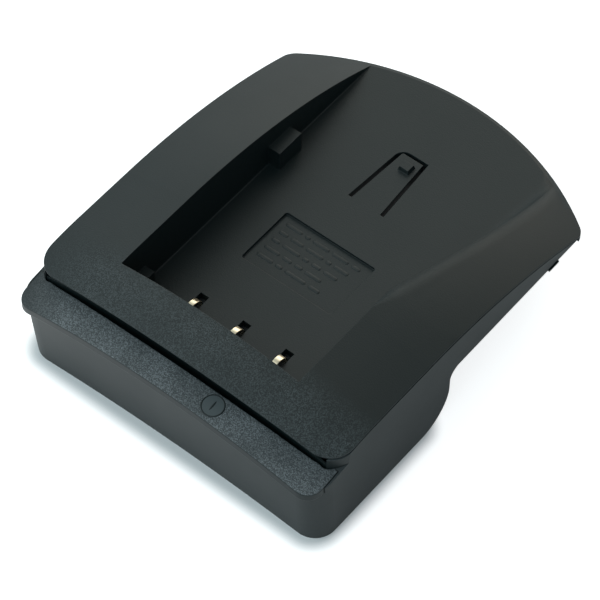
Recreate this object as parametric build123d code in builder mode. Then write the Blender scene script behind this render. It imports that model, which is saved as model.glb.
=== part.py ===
from build123d import *
import os
from math import asin, cos, degrees, radians, sin, sqrt

# Battery cradle of a camera charger, in millimetres.
# Origin: middle of the outline on the table, +Z up, front box towards -Y, overhang towards +Y.
os.makedirs("parts", exist_ok=True)

# Outline of the plate
half_width = 31.0
back_y = 40.4
back_radius = 51.4
back_corner = 3.0
front_y = -34.95
front_bow = 1.1
front_corner = 5.0

# Dome of the plate: crowned across, level in the middle, arched to the back and rolled off in front
crown_z = 24.1
crown_radius = 110.0
arch_radius = 116.0
arch_start_y = -11.5
roll_radius = 45.0
roll_start_y = -24.4
dome_reach_y = 46.0
shell = 1.8
rim = 0.7
rim_width = 2.0
lip = 0.2
lip_width = 0.6
seat_gap = 0.05

# Battery bay
bay_half = 18.1
bay_front_y = -27.85
floor_z = 12.2
floor_thick = 1.5
bay_wall = 1.6
flare_start_y = -5.0
flare_foot = 4.5
flare_lean = 0.7
flare_room = 6.4
flare_room_y = 12.0
rail_hollow_end_y = 22.95
rim_end_y = 29.0
floor_under_z = floor_z - floor_thick

# Guide blocks on the left bay wall
guide_y = (8.8, 14.5)
guide_out = 2.4
guide_z = 16.5
stop_back_y = -22.4
stop_out = 1.95
stop_z = 16.2

# Recessed panel, latch tongue and nub
panel_size = (18.6, 11.8)
panel_y = -3.1
panel_depth = 0.5
panel_corner = 0.5
tongue_root = 3.35
tongue_tip = 2.45
tongue_root_y = 11.9
tongue_tip_y = 24.9
tongue_slit = 0.65
tongue_corner = 0.4
tongue_slot_corner = 2.0
latch_pad = (8.6, 4.6, 1.5)
latch_pad_y = 24.2
nub_size = (2.2, 2.0, 0.8)
nub_at = (0.4, 22.3)
nub_taper = 15.0

# Contact springs
contact_pitch = 8.85
contact_slot = 1.7
contact_slot_y = (-26.4, -18.65)
spring_width = 1.3
spring_thick = 0.25
spring_leg_y = -20.0
spring_crest = (-21.875, 13.5)
spring_tip = (-23.875, 11.5)
carrier_size = (24.0, 9.6, 2.4)
carrier_y = -22.4
carrier_fit = 0.05

# Lower housing
side_lean = 0.4
base_front_y = -38.5
base_bow = 0.85
top_front_y = -40.3
top_bow = 0.4
box_corner = 4.0
wall = 1.8
wall_height = 24.0
base_thick = 2.6
foot_rear_y = -12.0
rear_round = 6.8
rear_fillet = 2.3
arm_under_z = 11.2
arm_thick = 1.6
arm_end_y = 22.8
cheek_end_y = 28.9
arm_tab = (1.4, 2.6, 0.35)
arm_tab_y = 22.2
corner_z = 13.5
cavity_front_y = -36.4
front_wall_y = -37.8
cavity_corner = 3.0
tub_gap = 0.15

# Front strip
strip_inset = 0.55
strip_front_y = -40.4
strip_back_y = -33.9
strip_horn_y = -33.6
strip_z = 19.2
strip_ref_y = -34.9
strip_slope = 8.0
strip_crown = 138.0
strip_thick = 1.5
strip_corner = 3.0
strip_gap = 0.1
groove_inset = 2.2
strip_flange = 1.2
strip_flange_drop = 3.0
strip_flange_inset = 3.8

# Screws
screw_shank = 2.2
screw_length = 5.0
screw_head = 4.2
screw_head_high = 1.2
head_room = 0.3
front_screw_inset = 6.0
front_screw_y = -31.2
pillar = 6.0
boss = 5.0
front_seat_z = 9.4
pillar_top_z = 11.0

# Board and the parts on it
board_size = (42.0, 26.0, 1.6)
board_y = -23.0
board_z = 4.0
board_edge_gap = 0.1
board_boss = 4.6
board_shank = 1.8
board_shank_length = 3.2
board_head = 3.2
board_head_high = 1.0
side_parts_inset = 8.5
chip_body = (5.0, 3.9, 1.5)
chip_back = 7.5
chip_lead = (0.4, 6.0, 0.25)
chip_leads = 4
chip_pitch = 1.27
transistor_body = (6.5, 6.1, 2.3)
transistor_tab = (5.4, 1.6, 0.5)
transistor_back = -2.2
diode_body = (4.4, 3.6, 2.2)
diode_tab = (5.6, 2.0, 0.3)
diode_back = -9.5
capacitor_can = 6.3
capacitor_high = 4.0
capacitor_base = 6.6
capacitor_base_high = 0.8
capacitor_back = -8.0
choke_flange = 7.0
choke_neck = 3.4
choke_high = 4.2
choke_flange_high = 0.9
choke_wound = 6.2
choke_back = 9.2
resistor_body = (6.3, 3.1, 0.6)
resistor_back = -8.0
small_part = (2.0, 1.25, 0.6)
small_columns = 4
small_row = 2.8
parts_gap = 1.5
small_back = -2.6

# Dock terminals in the rear wall of the box
dock_window = (13.0, 3.0)
dock_z = 7.3
dock_block_size = (12.8, 5.0, 2.8)
dock_face_y = -5.5
dock_blade = (2.4, 6.2, 0.6)
dock_blade_x = 3.6
dock_blade_proud = 0.9

# Reach of the cutting shapes beyond the object
tool_reach = 36.0
tool_low = -5.0
strip_reach = 20.0
strip_start = 6.0
strip_tuck = 1.0

# Derived places
axis_z = crown_z - crown_radius
side_end_y = back_y - back_radius + sqrt(back_radius ** 2 - half_width ** 2)
tub_half = bay_half + bay_wall
arm_top_z = arm_under_z + arm_thick
wall_inner = half_width - wall
base_half = half_width - side_lean
strip_half = half_width - strip_inset
groove_half = half_width - groove_inset
strip_flange_half = groove_half - strip_flange_inset
front_screw_x = half_width - front_screw_inset
front_screws = [(-front_screw_x, front_screw_y), (front_screw_x, front_screw_y)]
board_top_z = board_z + board_size[2]
board_screw_x = board_size[0] / 2 + board_shank / 2 + board_edge_gap
board_screw_places = [(-board_screw_x, board_y), (board_screw_x, board_y)]
parts_x = board_size[0] / 2 - side_parts_inset
spring_back_y = spring_leg_y + spring_thick / 2
chip_at = (0, board_y + chip_back)
transistor_at = (-parts_x, board_y + transistor_back)
diode_at = (-parts_x, board_y + diode_back)
capacitor_at = (parts_x, board_y + capacitor_back)
choke_at = (parts_x, board_y + choke_back)
resistor_at = (0, board_y + resistor_back)
small_at = (0, board_y + small_back)
small_room = 2 * parts_x - transistor_body[0] - 2 * parts_gap
small_pitch = (small_room - small_part[0]) / (small_columns - 1)


def dome_under(depth):
    """Everything below the dome, lowered by a depth square to it."""
    with BuildPart() as under:
        with BuildSketch(Plane.YZ):
            with BuildLine():
                rear = CenterArc((arch_start_y, crown_z - arch_radius), arch_radius - depth, 90,
                                 -degrees(asin((dome_reach_y - arch_start_y) / arch_radius)))
                level = Line((arch_start_y, crown_z - depth), (roll_start_y, crown_z - depth))
                roll = CenterArc((roll_start_y, crown_z - roll_radius), roll_radius - depth, 90,
                                 degrees(asin((roll_start_y + dome_reach_y) / roll_radius)))
                Polyline(roll @ 1, (-dome_reach_y, tool_low), (dome_reach_y, tool_low), rear @ 1)
            make_face()
        revolve(axis=Axis((0, 0, axis_z), (0, 1, 0)))
    return under.part


def plate_plan(inset):
    """Outline of the plate seen from above, moved inwards by an inset."""
    with BuildSketch() as plan:
        with BuildLine():
            ThreePointArc((-half_width, front_y), (0, front_y - front_bow), (half_width, front_y))
            Line((half_width, front_y), (half_width, side_end_y))
            ThreePointArc((half_width, side_end_y), (0, back_y), (-half_width, side_end_y))
            Line((-half_width, side_end_y), (-half_width, front_y))
        make_face()
        fillet(plan.vertices().group_by(Axis.Y)[0], radius=front_corner)
        fillet(plan.vertices().group_by(Axis.Y)[-1], radius=back_corner)
        if inset:
            offset(amount=-inset, mode=Mode.REPLACE)
    return plan.sketch


def under_edge(width, depth):
    """Room below the plate's edge in front of the overhang, from a depth under the dome downwards."""
    with BuildPart() as room:
        with BuildSketch(Plane.XY.offset(floor_under_z - floor_thick)):
            Rectangle(4 * half_width, 4 * half_width)
            add(plate_plan(width), mode=Mode.SUBTRACT)
            with Locations((0, rim_end_y)):
                Rectangle(4 * half_width, back_y, align=(Align.CENTER, Align.MIN), mode=Mode.SUBTRACT)
        extrude(amount=crown_z)
        add(dome_under(depth), mode=Mode.INTERSECT)
    return room.part


def tub_plan(grow):
    """Outline of the bay with its walls, wider where the right rail flares."""
    side = tub_half + grow
    wide = bay_half + flare_room + grow
    front = bay_front_y - bay_wall - grow
    with BuildSketch() as plan:
        with BuildLine():
            Polyline((-side, front), (side, front), (side, flare_start_y - grow), (wide, flare_room_y - grow),
                     (wide, dome_reach_y), (-side, dome_reach_y), close=True)
        make_face()
    return plan.sketch


def strip_plane(back_off):
    """Plane square to the strip's slope, facing forwards."""
    forward = (0, -cos(radians(strip_slope)), -sin(radians(strip_slope)))
    return Plane(origin=(0, strip_ref_y, strip_z), x_dir=(1, 0, 0), z_dir=forward).offset(-back_off)


def strip_plan(grow):
    """Outline of the front strip: horns round the plate's corners and a tongue under its front edge."""
    end = strip_half + grow
    tuck = groove_half - strip_tuck + grow
    with BuildSketch() as plan:
        with BuildLine():
            Polyline((-end, strip_horn_y + grow), (-end, strip_front_y - grow),
                     (end, strip_front_y - grow), (end, strip_horn_y + grow), close=True)
        make_face()
        fillet(plan.vertices().group_by(Axis.Y)[0], radius=strip_corner)
        add(plate_plan(grow - strip_gap), mode=Mode.SUBTRACT)
        with BuildLine():
            Polyline((-tuck, strip_back_y + grow), (-tuck, strip_front_y + strip_tuck),
                     (tuck, strip_front_y + strip_tuck), (tuck, strip_back_y + grow), close=True)
        make_face()
    return plan.sketch


def above_strip(depth):
    """Everything above the strip's crowned slope, lowered by a depth square to it."""
    reach = strip_crown - depth
    spread = degrees(asin(tool_reach / reach))
    with BuildPart() as over:
        with BuildSketch(strip_plane(strip_start)):
            with BuildLine():
                edge = CenterArc((0, -strip_crown), reach, 90 - spread, 2 * spread)
                Polyline(edge @ 1, (-tool_reach, strip_reach), (tool_reach, strip_reach), edge @ 0)
            make_face()
        extrude(amount=strip_reach)
    return over.part


# Hollow under the dome on both rails and in front of the bay
with BuildPart() as rail_hollow:
    with BuildSketch(Plane.XY.offset(floor_under_z - floor_thick)):
        add(plate_plan(rim_width))
        add(tub_plan(0), mode=Mode.SUBTRACT)
        with Locations((0, rail_hollow_end_y)):
            Rectangle(2 * half_width, back_y, align=(Align.CENTER, Align.MIN), mode=Mode.SUBTRACT)
    extrude(amount=crown_z)
    add(dome_under(shell), mode=Mode.INTERSECT)

# Right rail's inner face: upright at the front, leaning out more and more to the back
with BuildPart() as flare_cut:
    flare_high = crown_z - floor_z
    with BuildSketch(Plane(origin=(0, flare_start_y, floor_z), x_dir=(1, 0, 0), z_dir=(0, -1, 0))):
        with BuildLine():
            Polyline((0, 0), (bay_half, 0), (bay_half, flare_high), (0, flare_high), close=True)
        make_face()
    with BuildSketch(Plane(origin=(0, dome_reach_y, floor_z), x_dir=(1, 0, 0), z_dir=(0, -1, 0))):
        with BuildLine():
            Polyline((0, 0), (bay_half + flare_foot, 0),
                     (bay_half + flare_foot + flare_lean * flare_high, flare_high),
                     (0, flare_high), close=True)
        make_face()
    loft(ruled=True)

# Screw bosses that hang from the dome
with BuildPart() as plate_bosses:
    with BuildSketch(Plane.XY.offset(pillar_top_z)):
        with Locations(front_screws):
            Circle(boss / 2)
    extrude(amount=crown_z)
    add(dome_under(shell / 2), mode=Mode.INTERSECT)

# Latch tongue and the slot round it, with its left tip corner rounded
with BuildSketch() as tongue_inner:
    with BuildLine():
        Polyline((-tongue_root + tongue_slit / 2, tongue_root_y - tongue_slit),
                 (tongue_root - tongue_slit / 2, tongue_root_y - tongue_slit),
                 (tongue_tip - tongue_slit / 2, tongue_tip_y - tongue_slit / 2),
                 (-tongue_tip + tongue_slit / 2, tongue_tip_y - tongue_slit / 2), close=True)
    make_face()
    fillet(tongue_inner.vertices().group_by(Axis.Y)[-1].sort_by(Axis.X)[0], radius=tongue_corner)

with BuildSketch() as tongue_slot:
    with BuildLine():
        Polyline((-tongue_root - tongue_slit / 2, tongue_root_y),
                 (tongue_root + tongue_slit / 2, tongue_root_y),
                 (tongue_tip + tongue_slit / 2, tongue_tip_y + tongue_slit / 2),
                 (-tongue_tip - tongue_slit / 2, tongue_tip_y + tongue_slit / 2), close=True)
    make_face()
    fillet(tongue_slot.vertices().group_by(Axis.Y)[-1].sort_by(Axis.X)[0], radius=tongue_slot_corner)
    add(tongue_inner.sketch, mode=Mode.SUBTRACT)

# Upper plate: dome, rails, bay, guide blocks, latch tongue with its pad, and bosses in one moulding.
# Its rim rests on the housing's walls, and the thin lip outside the rim leaves a dark line over them.
with BuildPart() as upper_plate:
    with BuildSketch(Plane.XY.offset(floor_under_z)):
        add(plate_plan(0))
    extrude(amount=crown_z)
    add(dome_under(0), mode=Mode.INTERSECT)
    add(rail_hollow.part, mode=Mode.SUBTRACT)
    add(under_edge(rim_width, rim), mode=Mode.SUBTRACT)
    add(under_edge(lip_width, lip), mode=Mode.SUBTRACT)
    with BuildSketch(Plane.XY.offset(floor_z)):
        with Locations((0, bay_front_y)):
            Rectangle(2 * bay_half, 3 * back_y, align=(Align.CENTER, Align.MIN))
    extrude(amount=crown_z, mode=Mode.SUBTRACT)
    add(flare_cut.part, mode=Mode.SUBTRACT)
    add(plate_bosses.part)
    with BuildSketch(Plane.XY.offset(floor_z)):
        with Locations((-bay_half - bay_wall / 2, guide_y[0])):
            Rectangle(guide_out + bay_wall / 2, guide_y[1] - guide_y[0], align=(Align.MIN, Align.MIN))
    extrude(amount=guide_z - floor_z)
    with BuildSketch(Plane.XY.offset(floor_z)):
        with Locations((-bay_half - bay_wall / 2, bay_front_y - bay_wall / 2)):
            Rectangle(stop_out + bay_wall / 2, stop_back_y - bay_front_y + bay_wall / 2,
                      align=(Align.MIN, Align.MIN))
    extrude(amount=stop_z - floor_z)
    with BuildSketch(Plane.XY.offset(floor_z)):
        with Locations((0, panel_y)):
            RectangleRounded(*panel_size, radius=panel_corner)
    extrude(amount=-panel_depth, mode=Mode.SUBTRACT)
    with BuildSketch(Plane.XY.offset(floor_under_z)):
        with Locations((0, latch_pad_y)):
            Rectangle(latch_pad[0], latch_pad[1])
    extrude(amount=-latch_pad[2])
    with BuildSketch(Plane.XY.offset(floor_z)):
        add(tongue_slot.sketch)
    extrude(amount=-floor_thick - 2 * latch_pad[2], mode=Mode.SUBTRACT)
    with BuildSketch(Plane.XY.offset(floor_z)):
        with Locations((0, sum(contact_slot_y) / 2)):
            with GridLocations(contact_pitch, 1, 3, 1):
                Rectangle(contact_slot, contact_slot_y[1] - contact_slot_y[0])
    extrude(amount=-2 * floor_thick, mode=Mode.SUBTRACT)
    with BuildSketch(Plane.XY.offset(floor_z)):
        with Locations(nub_at):
            Rectangle(nub_size[0], nub_size[1])
    extrude(amount=nub_size[2], taper=nub_taper)
    with BuildSketch(Plane.XY.offset(pillar_top_z)):
        with Locations(front_screws):
            Circle(screw_shank / 2)
    extrude(amount=front_seat_z + screw_length + head_room - pillar_top_z, mode=Mode.SUBTRACT)
upper_plate.part.label = "upper_plate"
export_step(upper_plate.part, "parts/upper_plate.step")

# Front strip: crowned, sloping cover with a stiffening flange behind
with BuildPart() as front_strip:
    with BuildSketch():
        add(strip_plan(0))
    extrude(amount=crown_z)
    add(above_strip(strip_thick), mode=Mode.INTERSECT)
    add(above_strip(0), mode=Mode.SUBTRACT)
    with BuildSketch(Plane.XY.offset(strip_z - strip_thick - strip_flange_drop)):
        with Locations((0, strip_back_y)):
            Rectangle(2 * strip_flange_half, strip_flange, align=(Align.CENTER, Align.MAX))
    extrude(amount=strip_flange_drop + strip_thick / 2)
    add(above_strip(0), mode=Mode.SUBTRACT)
front_strip.part.label = "front_strip"
export_step(front_strip.part, "parts/front_strip.step")

# Room inside the housing: box, arms and the opening behind the strip
with BuildPart() as box_cavity:
    with BuildSketch(Plane.YZ):
        with BuildLine():
            floor_run = Line((cavity_front_y, base_thick), (foot_rear_y, base_thick))
            bend = CenterArc((foot_rear_y, rear_round), rear_round - base_thick, -90, 90)
            Polyline(bend @ 1, (foot_rear_y + rear_round - base_thick, arm_top_z), (arm_end_y, arm_top_z),
                     (arm_end_y, 2 * crown_z), (cavity_front_y, 2 * crown_z), (cavity_front_y, base_thick))
        make_face()
    extrude(amount=wall_inner, both=True)
    fillet(box_cavity.edges().filter_by(Axis.Z).group_by(Axis.Y)[0], radius=cavity_corner)
    with BuildSketch(Plane.XY.offset(corner_z)):
        Rectangle(4 * half_width, 4 * half_width)
        add(plate_plan(wall), mode=Mode.SUBTRACT)
    extrude(amount=2 * crown_z, mode=Mode.SUBTRACT)
    with BuildSketch(Plane.XY.offset(corner_z)):
        with Locations((0, front_wall_y)):
            Rectangle(2 * groove_half, bay_front_y - front_wall_y, align=(Align.CENTER, Align.MIN))
    extrude(amount=crown_z)

with BuildPart() as strip_pocket:
    with BuildSketch():
        add(strip_plan(strip_gap))
    extrude(amount=2 * crown_z)
    add(above_strip(strip_thick), mode=Mode.INTERSECT)

with BuildPart() as front_relief:
    with BuildSketch():
        with Locations((0, bay_front_y)):
            Rectangle(4 * half_width, half_width, align=(Align.CENTER, Align.MAX))
        add(plate_plan(0), mode=Mode.SUBTRACT)
    extrude(amount=2 * crown_z)
    add(above_strip(strip_gap), mode=Mode.INTERSECT)

# Side view of the housing: flat foot, round heel, rear wall and the arms' underside
with BuildPart() as side_profile:
    with BuildSketch(Plane.YZ):
        with BuildLine():
            foot = Line((-2 * back_y, 0), (foot_rear_y, 0))
            heel = CenterArc((foot_rear_y, rear_round), rear_round, -90, 90)
            rear = Line(heel @ 1, (foot_rear_y + rear_round, arm_under_z - rear_fillet))
            neck = CenterArc((foot_rear_y + rear_round + rear_fillet, arm_under_z - rear_fillet),
                             rear_fillet, 180, -90)
            Polyline(neck @ 1, (cheek_end_y, arm_under_z), (cheek_end_y, 2 * crown_z),
                     (-2 * back_y, 2 * crown_z), (-2 * back_y, 0))
        make_face()
    extrude(amount=2 * half_width, both=True)

# Lower housing: box with leaning walls, pillars for board and case, arms that carry the rails
with BuildPart() as lower_housing:
    with BuildSketch():
        with BuildLine():
            ThreePointArc((-base_half, base_front_y), (0, base_front_y + base_bow), (base_half, base_front_y))
            Polyline((base_half, base_front_y), (base_half, back_y),
                     (-base_half, back_y), (-base_half, base_front_y))
        base_face = make_face()
        fillet(base_face.vertices().group_by(Axis.Y)[0], radius=box_corner)
    with BuildSketch(Plane.XY.offset(wall_height)):
        with BuildLine():
            ThreePointArc((-half_width, top_front_y), (0, top_front_y + top_bow), (half_width, top_front_y))
            Polyline((half_width, top_front_y), (half_width, back_y),
                     (-half_width, back_y), (-half_width, top_front_y))
        top_face = make_face()
        fillet(top_face.vertices().group_by(Axis.Y)[0], radius=box_corner)
    loft(ruled=True)
    add(side_profile.part, mode=Mode.INTERSECT)
    add(dome_under(rim + seat_gap), mode=Mode.INTERSECT)
    with BuildSketch():
        Rectangle(4 * half_width, 4 * half_width)
        add(plate_plan(0), mode=Mode.SUBTRACT)
        with Locations((0, 0)):
            Rectangle(4 * half_width, 2 * half_width, align=(Align.CENTER, Align.MAX), mode=Mode.SUBTRACT)
    extrude(amount=2 * crown_z, mode=Mode.SUBTRACT)
    add(box_cavity.part, mode=Mode.SUBTRACT)
    with BuildSketch(Plane.XY.offset(floor_under_z)):
        add(tub_plan(tub_gap))
    extrude(amount=crown_z, mode=Mode.SUBTRACT)
    with BuildSketch():
        with Locations((0, arm_end_y)):
            Rectangle(2 * wall_inner, back_y, align=(Align.CENTER, Align.MIN))
    extrude(amount=crown_z, mode=Mode.SUBTRACT)
    add(front_relief.part, mode=Mode.SUBTRACT)
    add(strip_pocket.part, mode=Mode.SUBTRACT)
    with BuildSketch(Plane.XY.offset(arm_under_z)):
        with Locations((half_width - arm_tab[0], arm_tab_y), (-half_width, arm_tab_y)):
            Rectangle(arm_tab[0], arm_tab[1], align=(Align.MIN, Align.CENTER))
    extrude(amount=-arm_tab[2])
    with BuildSketch(Plane.XY.offset(base_thick / 2)):
        with Locations(front_screws):
            Circle(pillar / 2)
    extrude(amount=pillar_top_z - base_thick / 2)
    with BuildSketch(Plane.XY.offset(base_thick / 2)):
        with Locations(board_screw_places):
            Circle(board_boss / 2)
    extrude(amount=board_z - base_thick / 2)
    with BuildSketch():
        with Locations(front_screws):
            Circle(screw_shank / 2 + head_room / 2)
    extrude(amount=crown_z, mode=Mode.SUBTRACT)
    with BuildSketch():
        with Locations(front_screws):
            Circle(screw_head / 2 + head_room)
    extrude(amount=front_seat_z, mode=Mode.SUBTRACT)
    with BuildSketch(Plane.XY.offset(board_z)):
        with Locations(board_screw_places):
            Circle(board_shank / 2)
    extrude(amount=board_top_z - board_shank_length - board_z - head_room / 2, mode=Mode.SUBTRACT)
    with BuildSketch(Plane.XZ.offset(-foot_rear_y)):
        with Locations((0, dock_z)):
            Rectangle(*dock_window)
    extrude(amount=-2 * rear_round, mode=Mode.SUBTRACT)
lower_housing.part.label = "lower_housing"
export_step(lower_housing.part, "parts/lower_housing.step")

# Contact springs: leg on the board, round crest in the bay, free tip in the slot
with BuildSketch(Plane.YZ) as spring_side:
    with BuildLine():
        Line((spring_back_y, board_top_z), (spring_back_y, spring_tip[1]))
        ThreePointArc((spring_back_y, spring_tip[1]), spring_crest, spring_tip)
        offset(amount=spring_thick, side=Side.LEFT)
    make_face()

with BuildPart() as contact_spring_left:
    with BuildSketch(Plane.YZ.offset(-contact_pitch)):
        add(spring_side.sketch_local)
    extrude(amount=spring_width / 2, both=True)
contact_spring_left.part.label = "contact_spring_left"
export_step(contact_spring_left.part, "parts/contact_spring_left.step")

with BuildPart() as contact_spring_centre:
    with BuildSketch(Plane.YZ):
        add(spring_side.sketch_local)
    extrude(amount=spring_width / 2, both=True)
contact_spring_centre.part.label = "contact_spring_centre"
export_step(contact_spring_centre.part, "parts/contact_spring_centre.step")

with BuildPart() as contact_spring_right:
    with BuildSketch(Plane.YZ.offset(contact_pitch)):
        add(spring_side.sketch_local)
    extrude(amount=spring_width / 2, both=True)
contact_spring_right.part.label = "contact_spring_right"
export_step(contact_spring_right.part, "parts/contact_spring_right.step")

# Carrier under the bay floor
with BuildPart() as contact_carrier:
    with BuildSketch(Plane.XY.offset(floor_under_z)):
        with Locations((0, carrier_y)):
            Rectangle(carrier_size[0], carrier_size[1])
        with Locations((0, spring_leg_y)):
            with GridLocations(contact_pitch, 1, 3, 1):
                Rectangle(spring_width + carrier_fit, spring_thick + carrier_fit, mode=Mode.SUBTRACT)
    extrude(amount=-carrier_size[2])
contact_carrier.part.label = "contact_carrier"
export_step(contact_carrier.part, "parts/contact_carrier.step")

# Circuit board, clamped at both side edges by a screw's head
with BuildPart() as circuit_board:
    with BuildSketch(Plane.XY.offset(board_z)):
        with Locations((0, board_y)):
            Rectangle(board_size[0], board_size[1])
    extrude(amount=board_size[2])
circuit_board.part.label = "circuit_board"
export_step(circuit_board.part, "parts/circuit_board.step")

with BuildPart() as control_chip:
    with BuildSketch(Plane.XY.offset(board_top_z)):
        with Locations(chip_at):
            with GridLocations(chip_pitch, 1, chip_leads, 1):
                Rectangle(chip_lead[0], chip_lead[1])
    extrude(amount=chip_lead[2])
    with BuildSketch(Plane.XY.offset(board_top_z + chip_lead[2] / 2)):
        with Locations(chip_at):
            Rectangle(chip_body[0], chip_body[1])
    extrude(amount=chip_body[2])
control_chip.part.label = "control_chip"
export_step(control_chip.part, "parts/control_chip.step")

with BuildPart() as power_transistor:
    with BuildSketch(Plane.XY.offset(board_top_z)):
        with Locations(transistor_at):
            Rectangle(transistor_body[0], transistor_body[1])
    extrude(amount=transistor_body[2])
    with BuildSketch(Plane.XY.offset(board_top_z)):
        with Locations((transistor_at[0], transistor_at[1] + transistor_body[1] / 2)):
            Rectangle(transistor_tab[0], transistor_tab[1], align=(Align.CENTER, Align.MIN))
    extrude(amount=transistor_tab[2])
power_transistor.part.label = "power_transistor"
export_step(power_transistor.part, "parts/power_transistor.step")

with BuildPart() as rectifier_diode:
    with BuildSketch(Plane.XY.offset(board_top_z)):
        with Locations(diode_at):
            Rectangle(diode_tab[0], diode_tab[1])
    extrude(amount=diode_tab[2])
    with BuildSketch(Plane.XY.offset(board_top_z)):
        with Locations(diode_at):
            Rectangle(diode_body[0], diode_body[1])
    extrude(amount=diode_body[2])
rectifier_diode.part.label = "rectifier_diode"
export_step(rectifier_diode.part, "parts/rectifier_diode.step")

with BuildPart() as filter_capacitor:
    with BuildSketch(Plane.XY.offset(board_top_z)):
        with Locations(capacitor_at):
            Rectangle(capacitor_base, capacitor_base)
    extrude(amount=capacitor_base_high)
    with BuildSketch(Plane.XY.offset(board_top_z + capacitor_base_high)):
        with Locations(capacitor_at):
            Circle(capacitor_can / 2)
    extrude(amount=capacitor_high)
filter_capacitor.part.label = "filter_capacitor"
export_step(filter_capacitor.part, "parts/filter_capacitor.step")

with BuildPart() as choke_core:
    with BuildSketch(Plane.XY.offset(board_top_z)):
        with Locations(choke_at):
            Circle(choke_neck / 2)
    extrude(amount=choke_high)
    with BuildSketch(Plane.XY.offset(board_top_z),
                     Plane.XY.offset(board_top_z + choke_high - choke_flange_high)):
        with Locations(choke_at):
            Rectangle(choke_flange, choke_flange)
    extrude(amount=choke_flange_high)
choke_core.part.label = "choke_core"
export_step(choke_core.part, "parts/choke_core.step")

with BuildPart() as choke_winding:
    with BuildSketch(Plane.XY.offset(board_top_z + choke_flange_high)):
        with Locations(choke_at):
            Circle(choke_wound / 2)
            Circle(choke_neck / 2, mode=Mode.SUBTRACT)
    extrude(amount=choke_high - 2 * choke_flange_high)
choke_winding.part.label = "choke_winding"
export_step(choke_winding.part, "parts/choke_winding.step")

with BuildPart() as sense_resistor:
    with BuildSketch(Plane.XY.offset(board_top_z)):
        with Locations(resistor_at):
            Rectangle(resistor_body[0], resistor_body[1])
    extrude(amount=resistor_body[2])
sense_resistor.part.label = "sense_resistor"
export_step(sense_resistor.part, "parts/sense_resistor.step")

with BuildPart() as chip_parts:
    with BuildSketch(Plane.XY.offset(board_top_z)):
        with Locations(small_at):
            with GridLocations(small_pitch, small_row, small_columns, 2):
                Rectangle(small_part[0], small_part[1])
    extrude(amount=small_part[2])
chip_parts.part.label = "chip_parts"
export_step(chip_parts.part, "parts/chip_parts.step")

# Dock terminals
with BuildPart() as dock_block:
    with BuildSketch(Plane.XZ.offset(-dock_face_y)):
        with Locations((0, dock_z)):
            Rectangle(dock_block_size[0], dock_block_size[2])
            with GridLocations(2 * dock_blade_x, 1, 2, 1):
                Rectangle(dock_blade[0], dock_blade[2], mode=Mode.SUBTRACT)
    extrude(amount=dock_block_size[1])
dock_block.part.label = "dock_block"
export_step(dock_block.part, "parts/dock_block.step")

with BuildPart() as dock_blades:
    with BuildSketch(Plane.XZ.offset(-dock_face_y - dock_blade_proud)):
        with Locations((0, dock_z)):
            with GridLocations(2 * dock_blade_x, 1, 2, 1):
                Rectangle(dock_blade[0], dock_blade[2])
    extrude(amount=dock_blade[1] + dock_blade[2])
    with BuildSketch(Plane.XY.offset(dock_z)):
        with Locations((0, dock_face_y + dock_blade_proud - dock_blade[1])):
            with GridLocations(2 * dock_blade_x, 1, 2, 1):
                Rectangle(dock_blade[0], dock_blade[2], align=(Align.CENTER, Align.MAX))
    extrude(amount=board_top_z - dock_z)
dock_blades.part.label = "dock_blades"
export_step(dock_blades.part, "parts/dock_blades.step")

# Screws
with BuildPart() as case_screws:
    with BuildSketch(Plane.XY.offset(front_seat_z)):
        with Locations(front_screws):
            Circle(screw_head / 2)
    extrude(amount=-screw_head_high)
    with BuildSketch(Plane.XY.offset(front_seat_z)):
        with Locations(front_screws):
            Circle(screw_shank / 2)
    extrude(amount=screw_length)
case_screws.part.label = "case_screws"
export_step(case_screws.part, "parts/case_screws.step")

with BuildPart() as board_screws:
    with BuildSketch(Plane.XY.offset(board_top_z)):
        with Locations(board_screw_places):
            Circle(board_head / 2)
    extrude(amount=board_head_high)
    with BuildSketch(Plane.XY.offset(board_top_z)):
        with Locations(board_screw_places):
            Circle(board_shank / 2)
    extrude(amount=-board_shank_length)
board_screws.part.label = "board_screws"
export_step(board_screws.part, "parts/board_screws.step")
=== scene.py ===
import logging
import math
from dataclasses import dataclass
from enum import Enum

import bmesh
import bpy
import numpy as np
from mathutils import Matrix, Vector


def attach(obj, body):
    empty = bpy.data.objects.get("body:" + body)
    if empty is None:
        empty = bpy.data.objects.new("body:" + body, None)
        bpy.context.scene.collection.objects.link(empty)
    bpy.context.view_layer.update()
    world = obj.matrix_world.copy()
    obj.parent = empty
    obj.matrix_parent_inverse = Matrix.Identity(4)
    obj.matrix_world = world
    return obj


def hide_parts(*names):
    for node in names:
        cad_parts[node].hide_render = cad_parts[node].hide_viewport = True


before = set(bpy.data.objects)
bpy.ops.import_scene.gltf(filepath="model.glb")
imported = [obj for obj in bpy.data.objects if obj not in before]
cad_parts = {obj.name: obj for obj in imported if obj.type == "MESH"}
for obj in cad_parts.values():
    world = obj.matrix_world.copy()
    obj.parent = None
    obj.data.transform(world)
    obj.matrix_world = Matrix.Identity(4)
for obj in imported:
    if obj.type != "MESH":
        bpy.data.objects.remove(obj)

# One millimetre in Blender's metres
MM = 0.001
# Angle between two faces from which their edge is sharp
SHARP = math.radians(35)
log = logging.getLogger("battery_cradle")


def linear(hex_colour: str) -> tuple[float, float, float, float]:
    """Turns an sRGB hex colour to linear light.

    Args:
        hex_colour: colour such as "#1a1f20"

    Returns:
        red, green, blue and an alpha of 1
    """
    srgb = np.array([int(hex_colour[i:i + 2], 16) for i in (1, 3, 5)]) / 255
    rgb = np.where(srgb <= 0.04045, srgb / 12.92, ((srgb + 0.055) / 1.055) ** 2.4)
    return (*rgb.tolist(), 1.0)


def per_metre(size_mm: float) -> float:
    """Texture scale that gives a pattern cells of a real size in millimetres."""
    return 1 / (size_mm * MM)


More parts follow.
